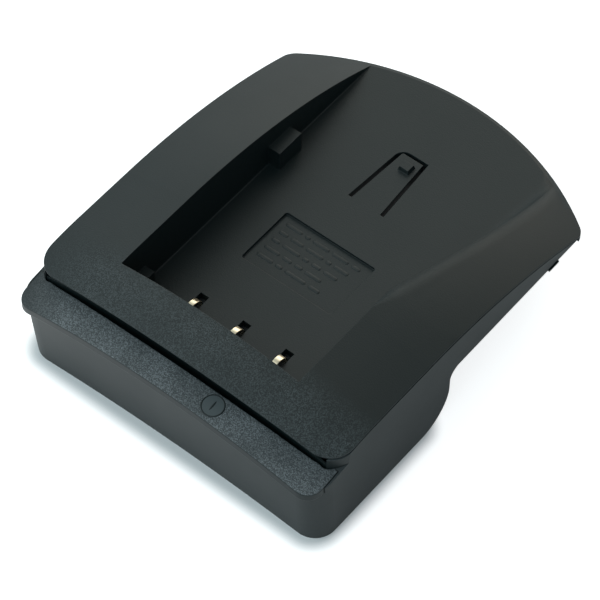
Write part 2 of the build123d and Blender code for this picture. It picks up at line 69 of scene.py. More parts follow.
def add_node(tree: bpy.types.NodeTree, kind: str, inputs: dict | None = None, **settings) -> bpy.types.Node:
    """Adds a node with its settings, and links or sets its inputs.

    Args:
        tree: node tree that gets the node
        kind: Blender's type name of the node
        inputs: by socket name or number, the output socket to link or the value to set
        settings: properties of the node itself

    Returns:
        the new node
    """
    node = tree.nodes.new(kind)
    for key, value in settings.items():
        setattr(node, key, value)
    for key, value in (inputs or {}).items():
        if isinstance(value, bpy.types.NodeSocket):
            tree.links.new(value, node.inputs[key])
        else:
            node.inputs[key].default_value = value
    return node


def calc(tree: bpy.types.NodeTree, operation: str, *values: bpy.types.NodeSocket | float) -> bpy.types.NodeSocket:
    """Adds a math node for the operation on sockets or numbers, and gives its output."""
    return add_node(tree, "ShaderNodeMath", dict(enumerate(values)), operation=operation).outputs[0]


def ramp(tree: bpy.types.NodeTree, value: bpy.types.NodeSocket, start: float, end: float,
         low: bpy.types.NodeSocket | float = 0.0, high: bpy.types.NodeSocket | float = 1.0,
         interpolation: str = "LINEAR") -> bpy.types.NodeSocket:
    """Maps a value from one range to another and holds it at the ends.

    Args:
        tree: node tree that gets the node
        value: value to map
        start: value that gives low
        end: value that gives high
        low: result at the start
        high: result at the end
        interpolation: Blender's name of the way between them

    Returns:
        the result
    """
    return add_node(tree, "ShaderNodeMapRange", {
        "Value": value, "From Min": start, "From Max": end, "To Min": low, "To Max": high},
        interpolation_type=interpolation).outputs[0]


def noise(tree: bpy.types.NodeTree, place: bpy.types.NodeSocket, size_mm: float, detail: float) -> bpy.types.NodeSocket:
    """Adds cloudy noise with cells of a size in millimetres, and gives its value."""
    return add_node(tree, "ShaderNodeTexNoise", {
        "Vector": place, "Scale": per_metre(size_mm), "Detail": detail}).outputs[0]


def mix(tree: bpy.types.NodeTree, share: bpy.types.NodeSocket, start: bpy.types.NodeSocket | tuple,
        end: bpy.types.NodeSocket | tuple) -> bpy.types.NodeSocket:
    """Mixes two colours: the first at a share of 0 and the second at a share of 1."""
    return add_node(tree, "ShaderNodeMix", {"Factor": share, "A": start, "B": end}, data_type="RGBA").outputs["Result"]


def new_material(name: str) -> tuple[bpy.types.Material, bpy.types.NodeTree]:
    """Starts an empty node material.

    Args:
        name: name of the material

    Returns:
        the material and its node tree
    """
    material = bpy.data.materials.new(name)
    material.use_nodes = True
    material.node_tree.nodes.clear()
    return material, material.node_tree


def put_out(tree: bpy.types.NodeTree, shader: bpy.types.Node) -> None:
    """Links a shader to the material's output."""
    add_node(tree, "ShaderNodeOutputMaterial", {"Surface": shader.outputs[0]})


def grid_piece(name: str, points: np.ndarray, wrap_rows: bool, wrap_columns: bool) -> bpy.types.Object:
    """Makes one piece from grids of points.

    Neighbouring points of a grid are joined by quads, a wrapped direction joins its end to its start,
    and points that fall together are merged, so that poles and seams close. Edges steeper than SHARP stay sharp.

    Args:
        name: name of the piece
        points: array of grids, rows, columns and x y z, in millimetres
        wrap_rows: whether the last row joins the first
        wrap_columns: whether the last column joins the first

    Returns:
        the piece, at the origin, riding on the cradle
    """
    index = np.arange(points.size // 3).reshape(points.shape[:3])
    if wrap_rows:
        index = np.concatenate([index, index[:, :1]], axis=1)
    if wrap_columns:
        index = np.concatenate([index, index[:, :, :1]], axis=2)
    corners = (index[:, :-1, :-1], index[:, :-1, 1:], index[:, 1:, 1:], index[:, 1:, :-1])
    quads = np.stack(corners, axis=-1).reshape(-1, 4)
    mesh = bpy.data.meshes.new(name)
    mesh.vertices.add(points.size // 3)
    mesh.vertices.foreach_set("co", (points * MM).ravel())
    mesh.loops.add(quads.size)
    mesh.loops.foreach_set("vertex_index", quads.ravel())
    mesh.polygons.add(len(quads))
    mesh.polygons.foreach_set("loop_start", np.arange(0, quads.size, 4))
    mesh.polygons.foreach_set("use_smooth", np.ones(len(quads), dtype=bool))
    mesh.update(calc_edges=True)
    joined = bmesh.new()
    joined.from_mesh(mesh)
    bmesh.ops.remove_doubles(joined, verts=joined.verts, dist=1e-4 * MM)
    bmesh.ops.recalc_face_normals(joined, faces=joined.faces)
    joined.to_mesh(mesh)
    joined.free()
    mesh.set_sharp_from_angle(angle=SHARP)
    piece = bpy.data.objects.new(name, mesh)
    bpy.context.scene.collection.objects.link(piece)
    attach(piece, "root")
    return piece


def dress(piece: bpy.types.Object, material: bpy.types.Material) -> None:
    """Gives every material slot of a piece one material, and adds a slot where it has none.

    Args:
        piece: piece to dress
        material: its finish
    """
    if not piece.material_slots:
        piece.data.materials.append(material)
    for slot in piece.material_slots:
        slot.material = material
    log.info("%s: %s", piece.name, material.name)


class Texture(Enum):
    """How the tool's face was finished, which the moulding copies: (grain in mm, relief in mm).

    The spark-eroded grain is drawn at about twice its real size, so that it shows in the picture.
    """

    SPARK = (0.14, 0.04)
    SATIN = (0.24, 0.02)
    PLAIN = (0.30, 0.008)

    @property
    def grain(self) -> float:
        """Size of the grains, in millimetres."""
        return self.value[0]

    @property
    def relief(self) -> float:
        """Height of the grains, in millimetres."""
        return self.value[1]


@dataclass(frozen=True)
class MouldedAbs:
    """Black ABS, injection moulded: dark body with a soft, broad reflection of the room.

    Attributes:
        name: name of the material
        colour: body colour
        dull: colour of the dull grains of the front texture; a grey paler than the body is painted sheen over the
            grain's own tone
        grain_glint: colour of its brightest grains, painted glints of the spark-eroded grain
        grain_glint_from: share of the grains that stay dull and carry no painted glint
        roughness: middle roughness
        cloudy: how far the roughness swings round its middle
        shine: strength of the reflection
        texture: texture of the tool at the back of the piece
        front_texture: texture of the tool in front of front_y_mm
        front_y_mm: y where the front texture ends and y where the other is reached
        left_fade_x_mm: x where the front texture and its painted glints are at their least at the left end and x where
            they are whole
        left_fade_share: share of the front texture and its painted glints that is left at the left end
        patch_mm: size of the patches in which the front texture and the gloss change
        patch_noise: noise at which a patch is at its weakest and at its strongest
        patch_least: share of the front texture in the weakest patch
        up_z: z of the normal at which a face starts to look up and at which it does so wholly
        edge_mm: radius of the moulding's edges
        blend_mm: x and y of both ends of a soft crease, and its radius and reach
        painted_lip_shade: share of the reflection that faces looking up lose behind the front, painted shade where a
            lip covers them
        painted_lip_shade_mm: length over which the reflection fades out
    """

    name: str
    colour: str = "#071516"
    dull: str = "#071516"
    grain_glint: str = "#071516"
    grain_glint_from: float = 0.30
    roughness: float = 0.48
    cloudy: float = 0.04
    shine: float = 0.5
    texture: Texture = Texture.SATIN
    front_texture: Texture = Texture.SATIN
    front_y_mm: tuple[float, float] = (-30.0, -24.0)
    left_fade_x_mm: tuple[float, float] = (-31.0, -19.0)
    left_fade_share: float = 0.1
    patch_mm: float = 9.0
    patch_noise: tuple[float, float] = (0.35, 0.65)
    patch_least: float = 0.6
    up_z: tuple[float, float] = (0.75, 0.9)
    edge_mm: float = 0.25
    blend_mm: tuple[float, float, float, float, float, float] | None = None
    painted_lip_shade: float = 0.0
    painted_lip_shade_mm: float = 2.0

    def radius(self, tree: bpy.types.NodeTree, x: bpy.types.NodeSocket,
               y: bpy.types.NodeSocket) -> bpy.types.NodeSocket:
        """Radius of the edges: the soft crease's radius near its line x = x0 + k (y - y0), else the edges' own.

        Args:
            tree: node tree of the material
            x: x of the point
            y: y of the point

        Returns:
            the radius
        """
        x0, y0, x1, y1, soft, reach = self.blend_mm
        lean = (x1 - x0) / (y1 - y0)
        line = calc(tree, "MULTIPLY_ADD", y, lean, (x0 - lean * y0) * MM)
        off = calc(tree, "ABSOLUTE", calc(tree, "SUBTRACT", x, line))
        along = ramp(tree, y, (y0 - reach) * MM, y0 * MM, self.edge_mm * MM, soft * MM)
        return ramp(tree, off, soft * MM, reach * MM, along, self.edge_mm * MM)

    def material(self) -> bpy.types.Material:
        """Builds the node material: grain as bump on rounded edges, paler grains as painted glints and sheen, painted
        shade behind a lip, cloudy roughness.

        Returns:
            the material
        """
        material, tree = new_material(self.name)
        place = add_node(tree, "ShaderNodeTexCoord").outputs["Object"]
        axes = add_node(tree, "ShaderNodeSeparateXYZ", {0: place})
        x, y = axes.outputs["X"], axes.outputs["Y"]
        faced = add_node(tree, "ShaderNodeSeparateXYZ", {0: add_node(tree, "ShaderNodeNewGeometry").outputs["Normal"]})
        top = ramp(tree, faced.outputs["Z"], *self.up_z)
        cloud = noise(tree, place, self.patch_mm, 3.0)
        patch = calc(tree, "MULTIPLY", ramp(tree, cloud, *self.patch_noise, self.patch_least), top)
        whole = ramp(tree, x, self.left_fade_x_mm[0] * MM, self.left_fade_x_mm[1] * MM, self.left_fade_share, patch)
        front_y, back_y = self.front_y_mm[0] * MM, self.front_y_mm[1] * MM
        to_front = ramp(tree, y, back_y, front_y, 0.0, whole)
        radius = self.radius(tree, x, y) if self.blend_mm else self.edge_mm * MM
        normal = add_node(tree, "ShaderNodeBevel", {"Radius": radius}, samples=8).outputs[0]
        normal = add_node(tree, "ShaderNodeBump", {
            "Height": noise(tree, place, self.texture.grain, 2.0), "Distance": self.texture.relief * MM,
            "Normal": normal}).outputs[0]
        front = add_node(tree, "ShaderNodeTexVoronoi", {
            "Vector": place, "Scale": per_metre(self.front_texture.grain)})
        normal = add_node(tree, "ShaderNodeBump", {
            "Strength": to_front, "Height": front.outputs["Distance"],
            "Distance": self.front_texture.relief * MM, "Normal": normal}, invert=True).outputs[0]
        # Painted glints and sheen: paler grain colours, mixed in on faces that look up in front, and less at the left
        # end.
        lot = add_node(tree, "ShaderNodeSeparateColor", {0: front.outputs["Color"]}).outputs[0]
        grains = mix(tree, ramp(tree, lot, self.grain_glint_from, 1.0), linear(self.dull), linear(self.grain_glint))
        # Painted shade: faces that look up behind the front edge lose part or all of their reflection, standing in for
        # the shade under the lip.
        behind = ramp(tree, y, front_y - self.painted_lip_shade_mm * MM, front_y, 0.0, top)
        shader = add_node(tree, "ShaderNodeBsdfPrincipled", {
            "Base Color": mix(tree, to_front, linear(self.colour), grains), "IOR": 1.5,
            "Roughness": ramp(tree, cloud, 0.0, 1.0, self.roughness - self.cloudy, self.roughness + self.cloudy),
            "Specular IOR Level": ramp(tree, behind, 0.0, 1.0, self.shine, self.shine * (1 - self.painted_lip_shade)),
            "Normal": normal})
        put_out(tree, shader)
        return material


@dataclass(frozen=True)
class PlatedMetal:
    """Metal strip or turned metal: coloured mirror with fine drawing lines.

    Attributes:
        name: name of the material
        colour: reflected colour
        roughness: middle roughness
        line_mm: spacing of the drawing lines
        drawn: scale of the lines' pattern along x, y and z
        swing: how far the roughness swings round its middle
        relief_mm: height of the lines
    """

    name: str
    colour: str
    roughness: float = 0.25
    line_mm: float = 0.08
    drawn: tuple[float, float, float] = (1.0, 0.06, 0.06)
    swing: float = 0.08
    relief_mm: float = 0.002

    def material(self) -> bpy.types.Material:
        """Builds the node material: roughness and bump follow the drawing lines.

        Returns:
            the material
        """
        material, tree = new_material(self.name)
        place = add_node(tree, "ShaderNodeTexCoord").outputs["Object"]
        drawn = add_node(tree, "ShaderNodeMapping", {"Vector": place, "Scale": self.drawn}).outputs[0]
        lines = noise(tree, drawn, self.line_mm, 2.0)
        bump = add_node(tree, "ShaderNodeBump", {"Height": lines, "Distance": self.relief_mm * MM})
        shader = add_node(tree, "ShaderNodeBsdfPrincipled", {
            "Base Color": linear(self.colour), "Metallic": 1.0, "Normal": bump.outputs[0],
            "Roughness": ramp(tree, lines, 0.0, 1.0, self.roughness - self.swing, self.roughness + self.swing)})
        put_out(tree, shader)
        return material


@dataclass(frozen=True)
class SolidPart:
    """Dull moulded, fired or laminated part inside the case.

    Attributes:
        name: name of the material
        colour: middle colour
        fleck: colour of its darker or paler grains
        grain_mm: size of the grains
        roughness: roughness
        relief_mm: height of the grains
    """

    name: str
    colour: str
    fleck: str
    grain_mm: float
    roughness: float
    relief_mm: float = 0.01

    def material(self) -> bpy.types.Material:
        """Builds the node material: two colours mixed by the grain, which is also the bump.

        Returns:
            the material
        """
        material, tree = new_material(self.name)
        place = add_node(tree, "ShaderNodeTexCoord").outputs["Object"]
        grain = noise(tree, place, self.grain_mm, 3.0)
        bump = add_node(tree, "ShaderNodeBump", {"Height": grain, "Distance": self.relief_mm * MM})
        shader = add_node(tree, "ShaderNodeBsdfPrincipled", {
            "Base Color": mix(tree, grain, linear(self.colour), linear(self.fleck)),
            "Roughness": self.roughness, "Normal": bump.outputs[0]})
        put_out(tree, shader)
        return material


@dataclass
class Case:
    """Finishes of the domed plate, the housing and the front strip."""

    # Painted glints and sheen: the paler grains of the plate and the strip, and the housing's grey on faces that look
    # up in front.
    plate: MouldedAbs = MouldedAbs(
        "moulded_abs_plate", grain_glint="#40484a", front_texture=Texture.SPARK, edge_mm=0.12,
        blend_mm=(18.9, -5.0, 23.4, 40.4, 3.0, 4.4))
    housing: MouldedAbs = MouldedAbs(
        "moulded_abs_housing", dull="#363d3f", grain_glint="#363d3f", texture=Texture.PLAIN, front_texture=Texture.PLAIN,
        # Painted shade: the housing's faces that look up behind the front lose all their reflection, as if under the
        # plate's lip.
        edge_mm=0.12, painted_lip_shade=1.0)
    strip: MouldedAbs = MouldedAbs(
        "moulded_abs_strip", dull="#3a3f41", grain_glint="#767c7f", texture=Texture.PLAIN, front_texture=Texture.SPARK,
        left_fade_x_mm=(-31.0, -23.0))

    def dress(self) -> bpy.types.Material:
        """Dresses the three packed mouldings.

        Returns:
            the strip's material, which the drawn strip also takes
        """
        strip = self.strip.material()
        dress(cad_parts["upper_plate"], self.plate.material())
        dress(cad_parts["lower_housing"], self.housing.material())
        dress(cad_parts["front_strip"], strip)
        return strip


@dataclass
class PanelMarks:
    """Rows of low raised bars on the floor of the recessed panel.

    Attributes:
        floor_z: height of the panel's floor
        rows_y: y of each row
        left_x: where the rows start
        right_x: where each row ends
        pitch: mean distance between two bars
        uneven: how far the ends of the bars stray, as a share of the mean length
        stray: steps of the sine that they follow, from bar to bar and from row to row
        width: width of a bar
        gap: room between two bars, as a share of their width
        height: height of a bar
        round_off: power of the width at which the straight length shrinks towards the top
        steps: points round a bar and points over its section
    """

    floor_z: float = 11.7
    rows_y: tuple[float, ...] = (1.1, -0.8, -2.7, -4.6, -6.5)
    left_x: float = -8.0
    right_x: tuple[float, ...] = (8.0, 7.0, 6.2, 4.4, 5.6)
    pitch: float = 3.1
    uneven: float = 0.28
    stray: tuple[float, float] = (2.1, 1.7)
    width: float = 0.75
    gap: float = 0.8
    height: float = 0.10
    round_off: float = 0.2
    steps: tuple[int, int] = (32, 15)

    def row(self, y: float, right: float, phase: float) -> np.ndarray:
        """Bars of one row, with ends that follow a sine of their number.

        Args:
            y: y of the row
            right: x where the row ends
            phase: start of the sine

        Returns:
            array of bars and (middle x, y, length)
        """
        count = max(2, round((right - self.left_x) / self.pitch))
        number = np.arange(1, count)
        share = (number + self.uneven * np.sin(self.stray[0] * number + phase)) / count
        ends = self.left_x + (right - self.left_x) * np.concatenate([[0.0], share, [1.0]])
        gap = self.gap * self.width
        return np.stack([(ends[:-1] + ends[1:] - gap) / 2, np.full(count, y), np.diff(ends) - gap], axis=1)

    def build(self, material: bpy.types.Material) -> None:
        """Builds all bars as one piece.

        A bar is an ellipse in section, swept round a stadium and half sunk: at angle u and height angle v its
        point is half the straight length times the sign of cos u, plus half the width times cos v in
        direction u, and its height is the bar's height times sin v. The straight length shrinks with a power
        of cos v, so that the bar closes at its top.

        Args:
            material: finish of the bars
        """
        rows = [self.row(y, right, self.stray[1] * i) for i, (y, right) in enumerate(zip(self.rows_y, self.right_x))]
        bars = np.concatenate(rows)[:, None, None, :]
        around, over = self.steps
        u = np.linspace(0, 2 * np.pi, around, endpoint=False)[None, None, :] + np.pi / around
        v = np.linspace(-np.pi / 2, np.pi / 2, over)[None, :, None]
        narrow = np.maximum(np.cos(v), 0)
        length = np.where(narrow < 1e-6, 0, narrow ** self.round_off)
        x = bars[..., 0] + self.width / 2 * narrow * np.cos(u)
        x = x + (bars[..., 2] - self.width) / 2 * np.sign(np.cos(u)) * length
        y = bars[..., 1] + self.width / 2 * narrow * np.sin(u)
        z = self.floor_z + self.height * np.sin(v)
        points = np.stack(np.broadcast_arrays(x, y, z), axis=-1)
        piece = grid_piece("panel_marks", points, wrap_rows=False, wrap_columns=True)
        dress(piece, material)


@dataclass
class WallFoot:
    """Small fillet at the foot of the bay's left wall, which catches the light as a thin line.

    Attributes:
        wall_x: inner face of the wall
        floor_z: height of the bay's floor
        radius: radius of the fillet
        spans_y: y of the start and end of each stretch between the blocks on the wall
        sunk: how far its back lies inside the plate
        steps: points along the quarter circle
    """

    wall_x: float = -18.1
    floor_z: float = 12.2
    radius: float = 0.22
    spans_y: tuple[tuple[float, float], ...] = ((-22.4, 8.8), (14.5, 35.5))
    sunk: float = 0.2
    steps: int = 9

    def build(self, material: bpy.types.Material) -> None:
        """Builds the fillet: a hollow quarter circle and a corner inside the plate, carried along y and closed.

        With the centre one radius from wall and floor, the quarter circle's points are the centre less the
        radius times (cos t, sin t) for t from 0 to 90 degrees.

        Args:
            material: finish of the fillet
        """
        t = np.linspace(0, np.pi / 2, self.steps)
        x = self.wall_x + self.radius * (1 - np.cos(t))
        z = self.floor_z + self.radius * (1 - np.sin(t))
        x = np.append(x, [x[-1], self.wall_x - self.sunk, self.wall_x - self.sunk])
        z = np.append(z, [self.floor_z - self.sunk, self.floor_z - self.sunk, z[0]])
        spans = np.array(self.spans_y)
        y = spans[:, [0, 0, 1, 1]][:, :, None] + 0 * x
        keep = np.array([0.0, 1.0, 1.0, 0.0])[None, :, None]
        points = np.stack([self.wall_x + (x - self.wall_x) * keep + 0 * y,
                           y, self.floor_z + (z - self.floor_z) * keep + 0 * y], axis=-1)
        piece = grid_piece("wall_foot", points, wrap_rows=False, wrap_columns=True)
        dress(piece, material)


@dataclass(frozen=True)
class StripFace:
    """Upper face of the front strip: a cylinder of the crown's radius, tilted forwards by the slope.

    Attributes:
        origin: y and z where the slope starts
        slope: fall of the strip, in degrees
        crown: radius of the strip's crown
    """

    origin: tuple[float, float] = (-34.9, 19.2)
    slope: float = 8.0
    crown: float = 138.0

    def tilt(self) -> tuple[float, float]:
        """Sine and cosine of the slope."""
        return math.sin(math.radians(self.slope)), math.cos(math.radians(self.slope))

    def above(self, x: np.ndarray, down: np.ndarray, raised: np.ndarray) -> np.ndarray:
        """Points over the face, from x, the distance down the slope and the height square to it.

        Args:
            x: distances across
            down: distances down the slope
            raised: heights above the face

        Returns:
            array of points
        """
        fall, rise = self.tilt()
        high = raised + np.sqrt(self.crown ** 2 - x ** 2) - self.crown
        y = self.origin[0] - down * rise - high * fall
        z = self.origin[1] - down * fall + high * rise
        return np.stack([x, y, z], axis=-1)

    def height(self, x: np.ndarray, y: np.ndarray) -> np.ndarray:
        """Height of the face at x and y: the crown's drop, less the distance down the slope times its fall.

        Args:
            x: distances across
            y: places along y

        Returns:
            the heights
        """
        fall, rise = self.tilt()
        high = np.sqrt(self.crown ** 2 - x ** 2) - self.crown
        down = (self.origin[0] - y - high * fall) / rise
        return self.origin[1] - down * fall + high * rise


@dataclass
class CoverStrip:
    """Front strip, which ends in a deep groove under the plate's front edge.

    Attributes:
        face: upper face of the strip
        half: half its length
        front_y: its front edge in the middle
        corner: radius of its front corners
        horn_y: back end of its horns beside the plate
        thick: its thickness
        edge: radius of its upper front edge
        plate_y: front edge of the plate in the middle
        plate_arc: radius of the plate's front edge
        plate_corner: x and y of the centre of the plate's corner, and its radius
        gap: room between the horns and the housing under the plate's corners
        tuck: how far the strip's top reaches under the plate's edge
        groove_half: half length of the groove
        groove_end: length over which the strip's back edge moves out to the horns
        groove_play: room between the ends of the groove and the housing
        groove_deep: depth of the groove
        groove_back_y: rear face of the groove's back wall
        groove_rise: how far the back wall stands over the strip's face
        groove_wall: thickness of the groove's back wall
        strip_steps: profiles along the strip and points of its upper edge
        groove_steps: profiles along the groove
    """

    face: StripFace = StripFace()
    half: float = 30.45
    front_y: float = -40.4
    corner: float = 3.0
    horn_y: float = -33.6
    thick: float = 1.5
    edge: float = 0.15
    plate_y: float = -36.05
    plate_arc: float = 437.4
    plate_corner: tuple[float, float, float] = (26.0, -30.27, 5.0)
    gap: float = 0.1
    tuck: float = 0.5
    groove_half: float = 28.8
    groove_end: float = 1.6
    groove_play: float = 0.05
    groove_deep: float = 3.0
    groove_back_y: float = -33.9
    groove_rise: float = 0.45
    groove_wall: float = 0.3
    strip_steps: tuple[int, int] = (241, 6)
    groove_steps: int = 161

    def plate_edge(self, x: np.ndarray) -> np.ndarray:
        """Front edge of the plate: a flat arc in the middle and a quarter circle at each corner.

        Args:
            x: distances across

        Returns:
            y of the edge
        """
        corner_x, corner_y, radius = self.plate_corner
        middle = self.plate_y + self.plate_arc - np.sqrt(self.plate_arc ** 2 - x ** 2)
        aside = np.clip(np.abs(x) - corner_x, 0, radius)
        return np.where(np.abs(x) < corner_x, middle, corner_y - np.sqrt(radius ** 2 - aside ** 2))

    def run_out(self, x: np.ndarray) -> np.ndarray:
        """Share from 0 in the middle to 1 from the groove's ends outwards: 3 s squared less 2 s cubed."""
        share = np.clip((np.abs(x) - self.groove_half) / self.groove_end + 1, 0, 1)
        return share ** 2 * (3 - 2 * share)

    def back(self, x: np.ndarray) -> np.ndarray:
        """Back edge of the strip's top: under the plate's edge in the middle, in front of it at the horns."""
        off = self.tuck - self.run_out(x) * (self.tuck + self.gap)
        return np.minimum(self.plate_edge(x) + off, self.horn_y)

    def closed(self, name: str, x: np.ndarray, y: np.ndarray, z: np.ndarray) -> bpy.types.Object:
        """Makes a piece of a profile carried along x, with each end closed on the middle of its profile.

        Args:
            name: name of the piece
            x: places of the profiles
            y: y of each profile's points
            z: z of each profile's points

        Returns:
            the piece
        """
        points = np.stack([np.broadcast_to(x[:, None], y.shape), y, z], axis=-1)
        ends = np.broadcast_to(points.mean(axis=1, keepdims=True), points.shape)
        points = np.concatenate([ends[:1], points, ends[-1:]])
        piece = grid_piece(name, points[None], wrap_rows=False, wrap_columns=True)
        return piece

    def cover(self, material: bpy.types.Material) -> None:
        """Builds the strip: its thickness below the face from the front edge to the back edge.

        The front edge of the outline is rounded at the corners, y = front + r - sqrt(r squared - d squared) at
        the distance d into the corner, and the upper edge is a quarter circle in section.

        Args:
            material: finish of the strip
        """
        x = self.half * np.sin(np.linspace(-np.pi / 2, np.pi / 2, self.strip_steps[0]))
        aside = np.clip(np.abs(x) - (self.half - self.corner), 0, self.corner)
        front = self.front_y + self.corner - np.sqrt(self.corner ** 2 - aside ** 2)
        turn = np.linspace(0, np.pi / 2, self.strip_steps[1])
        y = np.concatenate([front[:, None] + self.edge * (1 - np.cos(turn)), self.back(x)[:, None]], axis=1)
        drop = self.edge * (1 - np.append(np.sin(turn), 1.0))
        z = self.face.height(x[:, None], y) - drop
        y = np.concatenate([front[:, None], y, self.back(x)[:, None]], axis=1)
        z = np.concatenate([z[:, :1] - self.thick + self.edge, z, z[:, -1:] - self.thick], axis=1)
        piece = self.closed("cover_strip", x, y, z)
        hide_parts("front_strip")
        dress(piece, material)

    def groove(self, material: bpy.types.Material) -> None:
        """Builds the groove behind the strip: a trough with a back wall that rises under the plate.

        Args:
            material: finish of the groove
        """
        x = np.linspace(-1, 1, self.groove_steps) * (self.groove_half - self.groove_play)
        lead = self.back(x)
        step = np.full_like(x, self.groove_wall)
        wall = np.full_like(x, self.groove_back_y)
        y = np.stack([lead, lead, wall - step, wall - step, wall, wall, lead - step, lead - step], axis=1)
        low = -self.groove_deep
        rise = np.array([-self.thick / 2, low, low, self.groove_rise, self.groove_rise,
                         low - self.groove_wall, low - self.groove_wall, -self.thick / 2])
        z = self.face.height(x[:, None], y) + rise
        piece = self.closed("strip_groove", x, y, z)
        dress(piece, material)


@dataclass
class MouldRing:
    """Smooth round mould insert on the front strip: a disc inside a raised ring, with a short pointer.

    Attributes:
        face: upper face of the strip
        centre: x along the strip and distance down its slope
        radius: middle radius of the ring
        width: half width of the ring's section
        height: height of the ring
        disc: height of the disc
        pointer: half length, half width and height of the pointer
        steps: points round the insert, round the ring's section and over the pointer's section
    """

    face: StripFace = StripFace()
    centre: tuple[float, float] = (8.9, 2.83)
    radius: float = 1.85
    width: float = 0.13
    height: float = 0.10
    disc: float = 0.03
    pointer: tuple[float, float, float] = (0.95, 0.16, 0.12)
    steps: tuple[int, int, int] = (72, 12, 13)

    def lay(self, name: str, offsets: tuple[np.ndarray, np.ndarray, np.ndarray], ring: bool,
            material: bpy.types.Material) -> None:
        """Lays one piece of the insert on the strip's face.

        Args:
            name: name of the piece
            offsets: distances of its points from the centre, across and down the slope, and their heights
            ring: whether its section is closed
            material: its finish
        """
        across, down, raised = np.broadcast_arrays(*offsets)
        points = self.face.above(self.centre[0] + across, self.centre[1] + down, raised)
        piece = grid_piece(name, points[None], wrap_rows=True, wrap_columns=ring)
        dress(piece, material)

    def build(self, dark: bpy.types.Material, sheen_insert: bpy.types.Material) -> None:
        """Builds the insert: a flattened torus half sunk in the strip, a thin disc and an ellipsoid pointer.

        Args:
            dark: finish of the ring and the pointer
            sheen_insert: finish of the disc, whose grey, paler than the black body, is painted sheen
        """
        around, section, over = self.steps
        u = np.linspace(0, 2 * np.pi, around, endpoint=False)[:, None]
        v = np.linspace(0, 2 * np.pi, section, endpoint=False)[None, :]
        reach = self.radius + self.width * np.cos(v)
        self.lay("mould_ring", (reach * np.cos(u), reach * np.sin(u), self.height * np.sin(v)), True, dark)
        reach = np.array([[0.0, 0.5, 1.0, 1.0, 0.0]]) * self.radius
        raised = np.array([[1.0, 1.0, 1.0, -1.0, -1.0]]) * self.disc
        self.lay("mould_disc", (reach * np.cos(u), reach * np.sin(u), raised), False, sheen_insert)
        v = np.linspace(-np.pi / 2, np.pi / 2, over)[None, :]
        long, wide, high = self.pointer
        self.lay("mould_pointer", (wide * np.cos(v) * np.cos(u), long * np.cos(v) * np.sin(u), high * np.sin(v)),
                 False, dark)


@dataclass
class ContactSprings:
    """Three leaf springs: a leg on the board, a round crest in the bay and a free tip in the slot.

    Attributes:
        pitch: distance between two springs
        width: width of the strip
        thick: thickness of the strip
        back_y: rear face of the leg
        tip_y: front end of the crest
        foot_z: height of the board
        bend_z: height where leg and tip meet the crest
        bend: how far below that height the straight leg ends
        crest_z: top of the crest
        tip_share: width of the tip as a share of the strip's width
        power: power of the superellipse that is the strip's section
        steps: points along the leg, along the crest and round the section
    """

    pitch: float = 8.85
    width: float = 1.3
    thick: float = 0.25
    back_y: float = -19.875
    tip_y: float = -23.875
    foot_z: float = 5.6
    bend_z: float = 11.5
    bend: float = 0.6
    crest_z: float = 13.5
    tip_share: float = 0.7
    power: float = 6.0
    steps: tuple[int, int, int] = (8, 56, 32)

    def path(self) -> tuple[np.ndarray, np.ndarray]:
        """Middle line of the strip and its outward directions, seen from the side.

        The crest is the arc through its two ends and its top: with half its span a and its rise b above them,
        its radius is (a squared plus b squared) / 2b.

        Returns:
            points (y, z) and unit directions (y, z)
        """
        on_leg, on_crest, _ = self.steps
        half = (self.back_y - self.tip_y) / 2
        rise = self.crest_z - self.bend_z
        radius = (half ** 2 + rise ** 2) / (2 * rise)
        middle = np.array([self.tip_y + half, self.crest_z - radius])
        start = math.atan2(self.bend_z - middle[1], half)
        angle = np.linspace(start, np.pi - start, on_crest)
        out = np.stack([np.cos(angle), np.sin(angle)], axis=1)
        crest = middle + (radius - self.thick / 2) * out
        leg_z = np.linspace(self.foot_z, self.bend_z - self.bend, on_leg)
        leg = np.stack([np.full(on_leg, self.back_y - self.thick / 2), leg_z], axis=1)
        aside = np.tile([1.0, 0.0], (on_leg, 1))
        return np.concatenate([leg, crest]), np.concatenate([aside, out])

    def build(self, material: bpy.types.Material) -> None:
        """Builds the springs: a rounded flat section swept along the middle line and closed at both ends.

        The section is a superellipse: cos t and sin t, each to 2 over the power, with its sign kept.

        Args:
            material: finish of the springs
        """
        t = np.linspace(0, 2 * np.pi, self.steps[2], endpoint=False)
        across = self.width / 2 * np.sign(np.cos(t)) * np.abs(np.cos(t)) ** (2 / self.power)
        through = self.thick / 2 * np.sign(np.sin(t)) * np.abs(np.sin(t)) ** (2 / self.power)
        middle, out = self.path()
        ends = np.zeros(len(middle) + 2)
        ends[1:-1] = 1
        middle = np.concatenate([middle[:1], middle, middle[-1:]])
        out = np.concatenate([out[:1], out, out[-1:]])
        x = (ends * np.linspace(1.0, self.tip_share, len(ends)))[:, None] * across
        yz = middle[:, None, :] + (ends[:, None] * through)[..., None] * out[:, None, :]
        for side, shift in (("left", -self.pitch), ("centre", 0.0), ("right", self.pitch)):
            points = np.concatenate([(x + shift)[..., None], yz], axis=-1)
            piece = grid_piece(f"leaf_spring_{side}", points[None], wrap_rows=False, wrap_columns=True)
            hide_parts(f"contact_spring_{side}")
            dress(piece, material)


